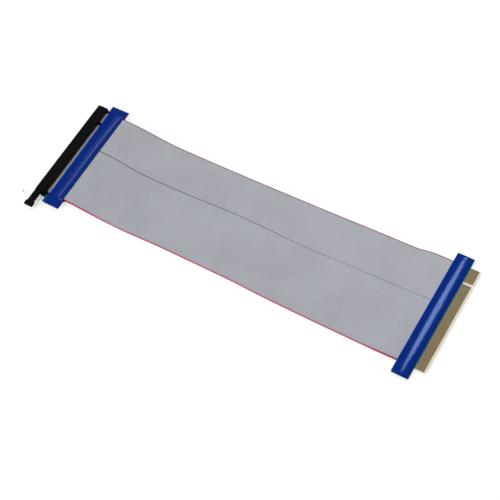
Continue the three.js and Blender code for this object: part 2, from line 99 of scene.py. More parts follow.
# The tongue's edges are bare from this far past its root, and its faces are this much darker than the edges, whose
# pale tone is partly the laminate's own and partly painted highlight on the bevel
BARE_FROM, BARE_FACE = 0.2 * MM, 0.29

# The ribbons' gap to what they lie on, and the level stretch past each board
RIBBON_GAP = 0.1 * MM
LEVEL_PAST_SLOT, LEVEL_BEFORE_PLUG = 2 * MM, 1.4 * MM
LOWER_SEAM_LIFT = 0.35
ROUTE_STEPS = 100

# The seam's gap changes within this distance of x = 0, and a ribbon draws in for it past this
# share of its width
SEAM_RUN, SEAM_FROM = 0.12, 0.975

# The tape's gap to the ribbons, the bare board and the contacts' tails, and half its gap to itself
RIBBON_AIR, BOARD_AIR, TAIL_AIR, SELF_AIR = 0.15 * MM, 0.04 * MM, 0.3 * MM, 0.03 * MM

# The slot tape: its left edge at the near and far end, and where the tails end, from the mouth
TAPE_LEFT = (11.9 * MM, 11.1 * MM)
TAILS_END = 14.4 * MM
TAIL_STEP, BOARD_STEP = 0.9 * MM, 0.6 * MM

# Its ridge over the ribbons' ends: the place past them and the height over the stack, the rounding
# and the slope, the curve after it, the drift at the far end and the slope at both sides
RIDGE_PLACE, RIDGE_RISE = 1.45 * MM, 0.1 * MM
RIDGE_BEND, RIDGE_SLOPE = 0.5 * MM, 0.11
RIDGE_STRAIGHT, RIDGE_CURVE = 1.5 * MM, 46
FOLD_START, FOLD_RUN = 26 * MM, 30 * MM
SIDE_START, SIDE_RUN = 1.7 * MM, 1.5 * MM

# Lumps a metre along x and y, of the slot tape's creases and of the plug tape's dents
CREASES, DENTS = (160, 60), (420, 210)

# The plug tape: its level top, and the dented corner by its distance and run along x and y
CREST = 2.8 * MM
DENT_X, DENT_X_RUN = 6 * MM, 5 * MM
DENT_Y, DENT_Y_RUN = 22 * MM, 16 * MM
TABLE_GAP = 0.02 * MM

# A sleeve's points across, along and round each end, the radius of its ends, and the angle in
# degrees past which an edge is kept sharp
SLEEVE_ACROSS, SLEEVE_ALONG, SLEEVE_TURN = 44, 150, 8
SLEEVE_END = 1.1 * MM
SLEEVE_CREASE = 50

# Each lamp's name, place, aim, width, depth and power in watts
LAMPS = (
    ("long_softbox", (0.132, 0.2297, 0.544), (0.132, 0.2297, -0.456), 0.09, 0.185, 1.75),
    ("front_softbox", (-0.6, -1.0, 1.1), (0, 0, 0), 1.2, 0.9, 18),
    ("back_softbox", (-1.043, 0.41, 0.69), (-0.14, 0, 0), 0.34, 0.32, 1.5),
)
SENSOR_WIDTH = 36
SKY = (0.45, 0.45, 0.46)
WHITE = (1, 1, 1)
FLOOR_GLOW = 0.7
FLOOR_REACH, FLOOR_DROP = 3, 0.05 * MM

# How the ribbons lie between the boards: the sideways drift and the lift of their far edge, of the
# seam and of their near edge, at places along x. None goes past the reach
REACH = 2.5 * MM


def lie(*points):
    """Points of (x, height) in metres from millimetres, level at both ends of the ribbons."""
    ends = [(-142.4, 0), *points, (159.6, 0)]
    return [(x * MM, height * MM) for x, height in ends]


FAR_LINE = (
    lie(
        (-134, 0), (-114, -0.4), (-94, -1.35), (-79, -1.85), (-59, -2.1), (-24, -2.2), (6, -2.1),
        (36, -1.9), (66, -1.6), (86, -1.2), (106, -1.0), (126, -0.9), (137, -0.2), (148, 0),
    ),
    lie((127, 0), (134, 0.25), (140, 0.75), (146, 0.55), (152, 0.1)),
)
SEAM_LINE = (
    lie(
        (-134, 0), (-114, -0.8), (-94, -1.8), (-74, -1.9), (-54, -1.7), (-34, -1.4), (-14, -1.1),
        (16, -1.2), (36, -1.5), (56, -1.6), (76, -1.4), (96, -1.0), (126, -0.8), (146, -0.3),
    ),
    lie(
        (-54, 0), (-34, 0.7), (-14, 1.4), (1, 1.5), (16, 1.4), (36, 0.5), (56, 0), (76, 0.3),
        (96, 1.0), (116, 1.1), (136, 0.5), (150, 0.05),
    ),
)
NEAR_LINE = (
    lie(
        (-134, 0), (-114, -0.4), (-84, -0.7), (-64, -0.3), (-44, 0.2), (-14, 0.3), (16, 0.3),
        (36, -0.2), (56, -0.6), (126, -0.6), (146, -0.4),
    ),
    lie((-100, 0), (100, 0)),
)


def number(name, description, default, **more):
    return FloatProperty(name=name, description=description, default=default, **more)


def quantity(name, description, default):
    return IntProperty(name=name, description=description, default=default)


def length(name, description, default):
    """A size in metres."""
    return number(name, description, default, unit="LENGTH", precision=5)


def angle(name, description, degrees):
    """An angle, kept in radians."""
    return number(name, description, math.radians(degrees), unit="ROTATION")


def colour(name, description, default):
    return FloatVectorProperty(
        name=name, description=description, default=default, size=3, min=0, max=1, subtype="COLOR"
    )


class RiserContactSettings(PropertyGroup):
    """The contact grid that the slot and the plug share."""

    pitch: length("Pitch", "Distance between two contacts", 1.0 * MM)
    key_span: length("Key span", "Distance between the two contacts beside the key", 3.0 * MM)
    short_count: quantity("Short row", "Contacts on the key's short side", 11)
    long_count: quantity("Long row", "Contacts on the key's long side", 71)
    width: length("Contact width", "Width of a slot contact", 0.6 * MM)
    thickness: length("Contact thickness", "Thickness of a slot contact", 0.22 * MM)
    finger_width: length("Finger width", "Width of a gold finger", 0.7 * MM)
    finger_length: length("Finger length", "Length of a gold finger", 5.8 * MM)
    finger_inset: length("Finger inset", "From the tongue's tip to a finger's end", 1.25 * MM)
    finger_rise: length("Finger thickness", "How far a finger stands off the board", 0.05 * MM)
    gold: colour("Gold", "Colour of the fingers", (0.138, 0.093, 0.042))
    tin: colour("Tin", "Colour of the slot contacts", (0.66, 0.61, 0.62))


class RiserBoardSettings(PropertyGroup):
    """The two circuit boards."""

    thickness: length("Thickness", "Thickness of a board", 1.57 * MM)
    corner: length("Corner", "Radius of the slot board's corners", 0.6 * MM)
    slot_edge: length("Slot board edge", "From the slot's mouth to its board", 10.0 * MM)
    tongue: length("Tongue", "Length of the tongue", 8.4 * MM)
    tongue_margin: length("Tongue margin", "Past the centre of the last finger", 0.95 * MM)
    tongue_corner: length("Tongue corner", "Chamfer of the tongue's corners", 0.7 * MM)
    notch: length("Notch", "Width of the notch for the key", 1.9 * MM)
    bevel: length("Bevel length", "Length of the bevel at the tongue's tip", 1.2 * MM)
    bevel_depth: length("Bevel depth", "Depth of the bevel at the tongue's tip", 0.38 * MM)
    mask_end: length("Mask end", "How far the green mask reaches on to the tongue", 0.9 * MM)
    mask: colour("Mask", "Colour of the solder mask", (0.001, 0.055, 0.04))
    # The laminate colour is the pale edge tone: partly the bare laminate's own, partly painted highlight on the
    # tongue's bevel
    laminate: colour("Laminate", "Colour of the bare laminate", (0.62, 0.58, 0.4))


class RiserRibbonSettings(PropertyGroup):
    """The four flat ribbons."""

    narrow_wires: quantity("Narrow ribbon", "Wires of the narrow ribbon", 34)
    wide_wires: quantity("Wide ribbon", "Wires of the wide ribbon", 50)
    thickness: length("Thickness", "Thickness over a wire", 0.9 * MM)
    valley: length("Valley", "Depth of the groove between two wires", 0.24 * MM)
    steps: quantity("Steps", "Points across each wire", 6)
    seam_at_slot: length("Seam at the slot", "Gap between the ribbons of a layer", 0.5 * MM)
    seam_at_plug: length("Seam at the plug", "Gap between the ribbons of a layer", 0.2 * MM)
    far_mark: number("Far mark", "Wires marked at the far edge", 0.75)
    near_mark: number("Near mark", "Wires marked at the near edge", 0.5)
    lap: length("Lap", "How far a ribbon lies over a board", 3.8 * MM)
    slot_runout: length("Slot run-out", "Length that comes down to the table", 50 * MM)
    plug_runout: length("Plug run-out", "Length that comes up from the table", 34 * MM)
    insulation: colour("Insulation", "Colour of the insulation", (0.304, 0.31, 0.343))
    # Painted shade: the far wire has the near wire's red dye, darkened for the ribbon's shaded far edge
    shaded_far_wire: colour("Far wire", "Colour of the wire at the far edge", (0.17, 0.012, 0.045))
    near_wire: colour("Near wire", "Colour of the wire at the near edge", (0.36, 0.018, 0.08))


class RiserTapeSettings(PropertyGroup):
    """The two sleeves of tape."""

    thickness: length("Thickness", "Thickness of the tape", 0.12 * MM)
    crown: length("Crown", "Radius of the tape's curve across its width", 42 * MM)
    wrinkle: length("Wrinkle", "Height of the wrinkles", 0.1 * MM)
    fold: length("Fold", "How far the slot tape's ridge drifts at its far end", -1.1 * MM)
    colour: colour("Colour", "Colour of the tape", (0.0, 0.014, 0.145))
    roughness: number("Roughness", "Roughness of the tape", 0.08, min=0, max=1, subtype="FACTOR")


class RiserMouldingSettings(PropertyGroup):
    """The moulded plastics."""

    black: colour("Black", "Colour of the slot housing", (0.0014, 0.0014, 0.0016))
    edge: length("Edge", "Radius of the latch's edges", 0.18 * MM)
    nylon: colour("Nylon", "Colour of the latch", (0.9, 0.89, 0.86))


class RiserStageSettings(PropertyGroup):
    """The camera and the floor."""

    lens: number("Lens", "Focal length on the sensor", 76.18, subtype="DISTANCE_CAMERA")
    distance: length("Distance", "From the camera to the table, along its view", 782.47 * MM)
    azimuth: angle("Azimuth", "Angle round the object", 48.906)
    elevation: angle("Elevation", "Angle above the table", 58.942)
    roll: angle("Roll", "Angle about the view", -19.866)
    aim_x: length("Aim X", "Where the view meets the table", 17.76 * MM)
    aim_y: length("Aim Y", "Where the view meets the table", -8.34 * MM)
    floor: colour("Floor", "Colour of the floor", (0.96, 0.96, 0.96))


class Wire:
    """An output socket of a node graph. Arithmetic on it adds Math nodes."""

    def __init__(self, graph, socket):
        self.graph = graph
        self.socket = socket

    def math(self, operation, *others):
        sockets = dict(enumerate((self, *others)))
        return self.graph.add("ShaderNodeMath", sockets, operation=operation)

    def __add__(self, other):
        return self.math("ADD", other)

    def __sub__(self, other):
        return self.math("SUBTRACT", other)

    def __rsub__(self, other):
        return self.graph.add("ShaderNodeMath", {0: other, 1: self}, operation="SUBTRACT")

    def __mul__(self, other):
        return self.math("MULTIPLY", other)

    def __truediv__(self, other):
        return self.math("DIVIDE", other)

    def __gt__(self, other):
        return self.math("GREATER_THAN", other)

    def __lt__(self, other):
        return self.math("LESS_THAN", other)

    def __abs__(self):
        return self.math("ABSOLUTE")

    __radd__ = __add__
    __rmul__ = __mul__

    def smooth(self, low, high):
        """0 below low, 1 above high, and smooth between them."""
        sockets = {"Value": self, "From Min": low, "From Max": high}
        return self.graph.add("ShaderNodeMapRange", sockets, interpolation_type="SMOOTHSTEP")


class Graph:
    """A node tree, shader or geometry, that nodes are added to one call at a time."""

    def __init__(self, tree):
        self.tree = tree

    def add(self, kind, sockets=None, output=0, points=None, **settings):
        """A node with its settings, then its sockets' values or links. Returns one output."""
        node = self.tree.nodes.new(kind)
        for name, value in settings.items():
            setattr(node, name, value)
        if points:
            curve = node.mapping.curves[0]
            while len(curve.points) < len(points):
                curve.points.new(1, 1)
            for point, place in zip(curve.points, points):
                point.location = place
            node.mapping.update()
        for name, value in (sockets or {}).items():
            self.feed(node.inputs[name], value)
        return Wire(self, node.outputs[output])

    def profile(self, x, points, reach):
        """A smooth line through (x, height) points, none higher or lower than the reach."""
        start, span = points[0][0], points[-1][0] - points[0][0]
        places = [((px - start) / span, 0.5 + height / reach / 2) for px, height in points]
        share = (x - start) / span
        height = self.add("ShaderNodeFloatCurve", {"Value": share}, points=places)
        return (height - 0.5) * (2 * reach)

    def split(self, vector):
        """The x, y and z of a vector."""
        node = self.tree.nodes.new("ShaderNodeSeparateXYZ")
        self.tree.links.new(vector.socket, node.inputs[0])
        return [Wire(self, socket) for socket in node.outputs]

    def feed(self, socket, value):
        if isinstance(value, Wire):
            self.tree.links.new(value.socket, socket)
        elif socket.type == "RGBA":
            socket.default_value = (*value, 1) if len(value) == 3 else value
        else:
            socket.default_value = value

    def mix(self, share, first, second):
        """A blend of two colours."""
        sockets = {0: share, 6: first, 7: second}
        return self.add("ShaderNodeMix", sockets, 2, data_type="RGBA")


def scaled(tone, factor):
    """A colour, darkened or lightened by a factor."""
    return tuple(min(1.0, part * factor) for part in tone)


class Finish(Graph):
    """A material whose surface is one Principled shader."""

    def __init__(self, name, **constants):
        self.material = bpy.data.materials.new(name)
        self.material.use_nodes = True
        super().__init__(self.material.node_tree)
        self.tree.nodes.clear()
        self.output = self.tree.nodes.new("ShaderNodeOutputMaterial")
        self.shader = self.tree.nodes.new("ShaderNodeBsdfPrincipled")
        self.tree.links.new(self.shader.outputs[0], self.output.inputs[0])
        self.place = self.add("ShaderNodeTexCoord", output="Object")
        for key, value in constants.items():
            self.set(key.replace("_", " ").title().replace("Ior", "IOR"), value)

    def set(self, name, value):
        self.feed(self.shader.inputs[name], value)

    def noise(self, scale, detail=2.0, roughness=0.5, stretch=(1, 1, 1)):
        """Noise of that many lumps a metre, 0 to 1, stretched by axis."""
        sockets = {0: self.place, 1: stretch}
        spread = self.add("ShaderNodeVectorMath", sockets, operation="MULTIPLY")
        sockets = {"Vector": spread, "Scale": scale, "Detail": detail, "Roughness": roughness}
        return self.add("ShaderNodeTexNoise", sockets, "Fac")

    def tint(self, base, shade, share):
        """The base colour, darkened or lightened by a factor where the share is 1."""
        return self.mix(share, base, scaled(base, shade))

    def relief(self, height, distance, strength=1.0):
        """A bump of that many metres on the shader's normal."""
        sockets = {"Height": height, "Distance": distance, "Strength": strength}
        self.set("Normal", self.add("ShaderNodeBump", sockets))


class Modifier(Graph):
    """A geometry node tree with named inputs, ending in Realize Instances and Set Material."""

    def __init__(self, name, **sizes):
        super().__init__(bpy.data.node_groups.new(name, "GeometryNodeTree"))
        self.identifiers = {}
        interface = self.tree.interface
        interface.new_socket("Geometry", in_out="INPUT", socket_type="NodeSocketGeometry")
        for key, value in sizes.items():
            label = key.replace("_", " ").capitalize()
            kind = "NodeSocketInt" if isinstance(value, int) else "NodeSocketFloat"
            socket = interface.new_socket(label, in_out="INPUT", socket_type=kind)
            self.identifiers[key] = socket.identifier
        finish = interface.new_socket("Finish", in_out="INPUT", socket_type="NodeSocketMaterial")
        self.identifiers["finish"] = finish.identifier
        interface.new_socket("Geometry", in_out="OUTPUT", socket_type="NodeSocketGeometry")
        self.sizes = sizes
        source = self.tree.nodes.new("NodeGroupInput")
        self.geometry = Wire(self, source.outputs[0])
        self.inputs = {key: Wire(self, source.outputs[i]) for i, key in enumerate(sizes, 1)}
        self.finish = Wire(self, source.outputs["Finish"])

    def close(self, geometry):
        real = self.add("GeometryNodeRealizeInstances", {"Geometry": geometry})
        coated = self.add("GeometryNodeSetMaterial", {"Geometry": real, "Material": self.finish})
        output = self.tree.nodes.new("NodeGroupOutput")
        self.tree.links.new(coated.socket, output.inputs[0])

    def make(self, name, seed_mesh, material):
        """Runs the tree on a mesh and returns the result as a plain mesh object."""
        host = linked(name + "_seed", seed_mesh)
        modifier = host.modifiers.new("Rule", "NODES")
        modifier.node_group = self.tree
        for key, value in self.sizes.items():
            modifier[self.identifiers[key]] = value
        modifier[self.identifiers["finish"]] = material
        piece = baked(name, host)
        bpy.data.objects.remove(host)
        return piece


def baked(name, host):
    """A new object whose plain mesh is the host's, with its modifiers done."""
    bpy.context.view_layer.update()
    graph = bpy.context.evaluated_depsgraph_get()
    mesh = bpy.data.meshes.new_from_object(
        host.evaluated_get(graph), preserve_all_data_layers=True, depsgraph=graph
    )
    mesh.name = name
    return linked(name, mesh)


def linked(name, data, *materials):
    """A new object in the scene for a mesh, a camera or a lamp."""
    for material in materials:
        data.materials.append(material)
    piece = bpy.data.objects.new(name, data)
    bpy.context.scene.collection.objects.link(piece)
    return piece


def finished(work, name):
    """A new mesh with what was worked out, which is then let go."""
    mesh = bpy.data.meshes.new(name)
    work.to_mesh(mesh)
    work.free()
    return mesh


def smooth_step(share):
    share = min(1.0, max(0.0, share))
    return share * share * (3 - 2 * share)


def shaded(piece, angle=35):
    """Smooth shading, with edges sharper than the angle kept."""
    mesh = piece.data
    mesh.polygons.foreach_set("use_smooth", [True] * len(mesh.polygons))
    work = bmesh.new()
    work.from_mesh(mesh)
    limit = math.radians(angle)
    for edge in work.edges:
        edge.smooth = len(edge.link_faces) == 2 and edge.calc_face_angle(0) < limit
    work.to_mesh(mesh)
    work.free()
    return piece


def dressed(piece, body, slot, *nodes):
    """Rides the piece on its body, in place of the CAD nodes. The slot is not used."""
    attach(piece, body)
    if nodes:
        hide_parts(*nodes)


def bridge(work, rings):
    """A band of faces between each ring of points and the next."""
    for first, second in zip(rings, rings[1:]):
        for i in range(len(first)):
            j = (i + 1) % len(first)
            work.faces.new((first[i], first[j], second[j], second[i]))


def prism(outline, layers, name):
    """A closed mesh over an anticlockwise outline of (x, y). A layer is its z and its x limit."""
    work = bmesh.new()
    rings = [[work.verts.new((min(x, limit), y, z)) for x, y in outline] for z, limit in layers]
    bridge(work, rings)
    work.faces.new(rings[-1])
    work.faces.new(list(reversed(rings[0])))
    return finished(work, name)


def arc(centre_x, centre_y, radius, start, end, steps):
    """Points on an arc, in degrees, ends included."""
    turns = [math.radians(start + (end - start) * i / steps) for i in range(steps + 1)]
    return [(centre_x + radius * math.cos(a), centre_y + radius * math.sin(a)) for a in turns]


def rounded(x0, y0, x1, y1, radius, steps=4):
    """A rectangle's outline with round corners."""
    return [
        *arc(x1 - radius, y0 + radius, radius, -90, 0, steps),
        *arc(x1 - radius, y1 - radius, radius, 0, 90, steps),
        *arc(x0 + radius, y1 - radius, radius, 90, 180, steps),
        *arc(x0 + radius, y0 + radius, radius, 180, 270, steps),
    ]


# Finishes


def black_moulding(tone):
    finish = Finish("black_moulding", specular_ior_level=0.03)
    grain = finish.noise(2600, 3)
    wear = finish.noise(90, 4, 0.6)
    finish.set("Base Color", finish.tint(tone, 2.2, wear.smooth(0.45, 0.8) * 0.6))
    finish.set("Roughness", 0.42 + grain * 0.16)
    finish.relief(grain, 0.00002, 0.5)
    return finish.material


def pale_nylon(tone):
    finish = Finish("pale_nylon", specular_ior_level=0.4)
    cloud = finish.noise(260, 3)
    finish.set("Base Color", finish.tint(tone, 0.88, cloud.smooth(0.4, 0.75)))
    finish.set("Roughness", 0.38 + cloud * 0.14)
    finish.relief(finish.noise(2200), 0.00001, 0.4)
    return finish.material


def solder_mask(board, contacts, mask_x):
    """Green mask with the traces under it, bare laminate past the mask's end."""
    finish = Finish("solder_mask", specular_ior_level=0.2)
    x, y, _ = finish.split(finish.place)
    lane = ((y - KEY_Y) / contacts.pitch).math("FRACT") - 0.5
    trace = 1 - abs(lane).smooth(0.2, 0.26)
    weave = finish.noise(1500, 2, 0.6)
    mask = finish.tint(board.mask, 1.7, trace * 0.7)
    bare = finish.tint(scaled(board.laminate, BARE_FACE), 0.72, weave.smooth(0.35, 0.7))
    edge = (x + finish.noise(700) * 0.00006).smooth(mask_x, mask_x + 0.00005)
    finish.set("Base Color", finish.mix(edge, mask, bare))
    finish.set("Roughness", 0.28 + edge * 0.3 + weave * 0.08)
    finish.relief(trace * (1 - edge), 0.00003, 0.6)
    return finish.material


# The bare edges and bevel of the tongue: the laminate's own pale cut edge, partly painted highlight on the bevel
def bare_laminate(board):
    finish = Finish("bare_laminate", roughness=0.62)
    ply = finish.noise(900, 3, 0.6, stretch=(1, 1, 9))
    finish.set("Base Color", finish.tint(board.laminate, 0.8, ply.smooth(0.4, 0.75)))
    finish.relief(ply, 0.00002, 0.4)
    return finish.material


def plated_gold(tone):
    finish = Finish("plated_gold", metallic=0.25, specular_ior_level=0.1)
    scratch = finish.noise(420, 4, 0.7, stretch=(0.12, 1, 1))
    haze = finish.noise(300, 2)
    finish.set("Base Color", finish.tint(tone, 0.7, scratch.smooth(0.5, 0.75) * 0.6))
    finish.set("Roughness", 0.42 + haze * 0.15)
    finish.relief(scratch, 0.000008, 0.5)
    return finish.material


def bright_tin(tone):
    finish = Finish("bright_tin", metallic=0.8)
    grain = finish.noise(1800, 3, 0.6)
    finish.set("Base Color", finish.tint(tone, 0.75, grain.smooth(0.45, 0.7)))
    finish.set("Roughness", 0.34 + grain * 0.2)
    finish.relief(grain, 0.00001, 0.5)
    return finish.material


def ribbon_insulation(name, ribbon, marked_wire):
    """Grey insulation, with painted shade in the grooves by the wire attribute and a red edge by the mark
    attribute.
    """
    finish = Finish(name, specular_ior_level=0.2)
    lane = finish.add("ShaderNodeAttribute", output="Fac", attribute_name="wire")
    marked = finish.add("ShaderNodeAttribute", output="Fac", attribute_name="mark")
    cloud = finish.noise(28, 3, 0.55)
    streak = finish.noise(1, 2, 0.5, stretch=(18, 900, 1))
    grey = finish.tint(ribbon.insulation, 0.94, cloud.smooth(0.38, 0.66))
    grey = finish.mix(streak.smooth(0.4, 0.8) * 0.25, grey, scaled(ribbon.insulation, 0.82))
    # Painted shade: the insulation darkens in the grooves between the wires
    groove = abs((lane.math("FRACT") - 0.5) * 2).smooth(0.8, 1.0)
    grey = finish.mix(groove * 0.35, grey, scaled(ribbon.insulation, 0.55))
    finish.set("Base Color", finish.mix(marked, grey, marked_wire[:]))
    finish.set("Roughness", 0.5 + streak * 0.12)
    finish.relief(finish.noise(1300, 2), 0.00001, 0.4)
    return finish.material


def blue_tape(tape):
    """Glossy film with fine creases across it and dust-fine orange peel."""
    finish = Finish("blue_tape", specular_ior_level=0.1, specular_tint=(0.38, 0.56, 1.0))
    crease = finish.noise(60, 5, 0.62, stretch=(1, 0.35, 1))
    peel = finish.noise(900, 2)
    finish.set("Base Color", finish.tint(tape.colour[:], 1.35, crease.smooth(0.45, 0.75) * 0.5))
    finish.set("Roughness", tape.roughness + peel * 0.05)
    finish.relief(crease * 0.8 + peel * 0.06, 0.00004, 0.5)
    return finish.material


# Pieces


def contact_places(settings):
    """The y of every contact, numbered from the key end."""
    far = KEY_Y + settings.key_span / 2 + (settings.short_count - 1) * settings.pitch
    near = KEY_Y - settings.key_span / 2
    short = [far - i * settings.pitch for i in range(settings.short_count)]
    return short + [near - i * settings.pitch for i in range(settings.long_count)]


def contact_rows(name, settings, start, middle, short_pins=((), ()), shortening=0.0):
    """The tree that sets a template on both rows of the grid, above and below a board's middle.

    The template's x runs from the start. Pins that are listed for a side, above or below, lose a
    share of their length.
    """
    tree = Modifier(
        name,
        short_count=settings.short_count,
        long_count=settings.long_count,
        pitch=settings.pitch,
        key_span=settings.key_span,
        key_place=KEY_Y,
        start=start,
        board_middle=middle,
        shortening=shortening,
    )
    size = tree.inputs
    far = size["key_place"] + size["key_span"] * 0.5 + (size["short_count"] - 1) * size["pitch"]
    near = size["key_place"] - size["key_span"] * 0.5
    down = tree.add("ShaderNodeCombineXYZ", {"Y": size["pitch"] * -1})
    rows = tree.tree.nodes.new("GeometryNodeJoinGeometry")
    for count, first in ((size["long_count"], near), (size["short_count"], far)):
        sockets = {"X": size["start"], "Y": first, "Z": size["board_middle"]}
        place = tree.add("ShaderNodeCombineXYZ", sockets)
        sockets = {"Count": count, "Start Location": place, "Offset": down}
        line = tree.add("GeometryNodeMeshLine", sockets)
        tree.tree.links.new(line.socket, rows.inputs[0])
    _, y, _ = tree.split(tree.add("GeometryNodeInputPosition"))
    past_key = (y < size["key_place"]) * (size["key_span"] / size["pitch"] - 1)
    pin = (far - y) / size["pitch"] + 1 - past_key
    sides = tree.tree.nodes.new("GeometryNodeJoinGeometry")
    for turn, pins in zip((0.0, math.pi), short_pins):
        shorter = 0.0
        for short_pin in pins:
            shorter = pin.math("COMPARE", float(short_pin), 0.5) + shorter
        reach = 1 - shorter * size["shortening"]
        sockets = {
            "Points": Wire(tree, rows.outputs[0]),
            "Instance": tree.geometry,
            "Rotation": (turn, 0, 0),
            "Scale": tree.add("ShaderNodeCombineXYZ", {"X": reach, "Y": 1, "Z": 1}),
        }
        placed = tree.add("GeometryNodeInstanceOnPoints", sockets)
        tree.tree.links.new(placed.socket, sides.inputs[0])
    tree.close(Wire(tree, sides.outputs[0]))
    return tree


def strip(path, width, thickness, name):
    """A bent strip along a path of (x, z) points, centred on y = 0."""
    points = [Vector(point) for point in path]
    work = bmesh.new()
    rings = []
    for i, point in enumerate(points):
        before = (point - points[i - 1]).normalized() if i else None
        after = (points[i + 1] - point).normalized() if i < len(points) - 1 else None
        along = ((before or after) + (after or before)).normalized()
        reach = thickness / 2 / along.dot(before or after)
        aside = Vector((-along.y, along.x)) * reach
        ring = [
            (point + aside, -width / 2),
            (point + aside, width / 2),
            (point - aside, width / 2),
            (point - aside, -width / 2),
        ]
        rings.append([work.verts.new((place.x, y, place.y)) for place, y in ring])
    bridge(work, rings)
    work.faces.new(list(reversed(rings[0])))
    work.faces.new(rings[-1])
    bmesh.ops.recalc_face_normals(work, faces=work.faces)
    return finished(work, name)


class RISER_OT_slot_housing(Operator):
    """Finishes the slot housing in black moulded plastic"""

    bl_idname = "riser.slot_housing"
    bl_label = "Slot housing"

    def execute(self, context):
        housing = frame["nodes"]["slot_housing"]
        housing.data.materials.clear()
        housing.data.materials.append(black_moulding(context.scene.riser_moulding.black[:]))
        return {"FINISHED"}


class RISER_OT_latch(Operator):
    """Makes the ejector latch, a nylon lever with a hook, an ejector foot and two trunnions"""

    bl_idname = "riser.latch"
    bl_label = "Ejector latch"

    def execute(self, context):
        moulding = context.scene.riser_moulding
        mesh = frame["nodes"]["latch_lever"].data.copy()
        work = bmesh.new()
        work.from_mesh(mesh)
        bmesh.ops.remove_doubles(work, verts=work.verts, dist=0.001 * MM)
        flat = math.radians(1)
        bmesh.ops.dissolve_limit(work, angle_limit=flat, verts=work.verts, edges=work.edges)
        work.to_mesh(mesh)
        work.free()
        mesh.materials.clear()
        host = linked("latch_seed", mesh, pale_nylon(moulding.nylon[:]))
        soften = host.modifiers.new("Soften", "BEVEL")
        soften.width = moulding.edge
        soften.segments = 2
        soften.limit_method = "ANGLE"
        soften.angle_limit = math.radians(40)
        lever = shaded(baked("ejector_latch", host))
        bpy.data.objects.remove(host)
        dressed(lever, LATCH, "latch", "latch_lever")
        return {"FINISHED"}


class RISER_OT_slot_board(Operator):
    """Makes the slot's board, its contacts and the solder that holds them"""

    bl_idname = "riser.slot_board"
    bl_label = "Slot board and contacts"

    def execute(self, context):
        board = context.scene.riser_board
        contacts = context.scene.riser_contacts
        half = board.thickness / 2
        edge = MOUTH_X + board.slot_edge
        outline = rounded(
            edge, SLOT_BOARD_LOW.y, SLOT_BOARD_HIGH.x, SLOT_BOARD_HIGH.y, board.corner
        )
        levels = [(SLOT_MIDDLE - half, math.inf), (SLOT_MIDDLE + half, math.inf)]
        past_end = SLOT_BOARD_HIGH.x + MM
        mask = solder_mask(board, contacts, past_end)
        plate = linked("slot_board_laminate", prism(outline, levels, "slot_board"), mask)
        dressed(plate, EXTENDER, "board", "slot_board")

        seat = half + contacts.thickness / 2 + TAIL_GAP
        path = [*SPRING, (TAIL_START, seat), (TAIL_END, seat)]
        tin = bright_tin(contacts.tin[:])
        template = strip(path, contacts.width, contacts.thickness, "contact_template")
        rows = contact_rows("Slot contacts", contacts, MOUTH_X, SLOT_MIDDLE)
        dressed(rows.make("slot_contacts", template, tin), EXTENDER, "board")

        dressed(rows.make("slot_solder", self.bead(half), tin), EXTENDER, "board")
        return {"FINISHED"}

    def bead(self, base):
        """A low dome of solder that a contact's tail lies in."""
        middle = Vector(((BEAD_START + BEAD_END) / 2, 0, base))
        size = Vector(((BEAD_END - BEAD_START) / 2, BEAD_HALF_WIDTH, BEAD_RISE))
        work = bmesh.new()
        bmesh.ops.create_uvsphere(work, u_segments=10, v_segments=6, radius=1)
        for vertex in work.verts:
            vertex.co = middle + vertex.co * size
        for face in work.faces:
            face.smooth = True
        return finished(work, "solder_template")


class RISER_OT_plug_board(Operator):
    """Makes the plug's board with its bevelled, notched tongue and the gold fingers"""

    bl_idname = "riser.plug_board"
    bl_label = "Plug board and fingers"

    def execute(self, context):
        board = context.scene.riser_board
        contacts = context.scene.riser_contacts
        half = board.thickness / 2
        root = PLUG_TIP - board.tongue
        places = contact_places(contacts)
        near = places[-1] - board.tongue_margin
        far = places[0] + board.tongue_margin
        notch = board.notch / 2
        corner = board.tongue_corner
        outline = [
            (PLUG_LOW.x, PLUG_LOW.y),
            (root, PLUG_LOW.y),
            (root, near),
            (PLUG_TIP - corner, near),
            (PLUG_TIP, near + corner),
            (PLUG_TIP, KEY_Y - notch),
            *reversed(arc(root + notch, KEY_Y, notch, 90, 270, 10)),
            (PLUG_TIP, KEY_Y + notch),
            (PLUG_TIP, far - corner),
            (PLUG_TIP - corner, far),
            (root, far),
            (root, PLUG_HIGH.y),
            (PLUG_LOW.x, PLUG_HIGH.y),
        ]
        flat = PLUG_TIP - board.bevel
        levels = [
            (PLUG_MIDDLE - half, flat),
            (PLUG_MIDDLE - half + board.bevel_depth, math.inf),
            (PLUG_MIDDLE + half - board.bevel_depth, math.inf),
            (PLUG_MIDDLE + half, flat),
        ]
        mask = solder_mask(board, contacts, root + board.mask_end)
        mesh = prism(outline, levels, "plug_board")
        plate = linked("plug_board_laminate", mesh, mask, bare_laminate(board))
        # Upright and bevelled faces past the root take the pale edge tone, partly painted highlight on the bevel
        for face in plate.data.polygons:
            upright = abs(face.normal.z) < 0.99
            face.material_index = int(upright and face.center.x > root + BARE_FROM)
        dressed(plate, EXTENDER, "board", "plug_board")

        side = contacts.finger_width / 2
        outline = rounded(0, -side, contacts.finger_length, side, FINGER_CORNER, 2)
        levels = [(half - FINGER_SUNK, math.inf), (half + contacts.finger_rise, math.inf)]
        template = prism(outline, levels, "finger_template")
        start = PLUG_TIP - contacts.finger_inset - contacts.finger_length
        lacking = (SHORT_FINGERS, SHORTENING)
        rows = contact_rows("Gold fingers", contacts, start, PLUG_MIDDLE, *lacking)
        gold = plated_gold(contacts.gold[:])
        dressed(rows.make("gold_fingers", template, gold), EXTENDER, "board")
        return {"FINISHED"}


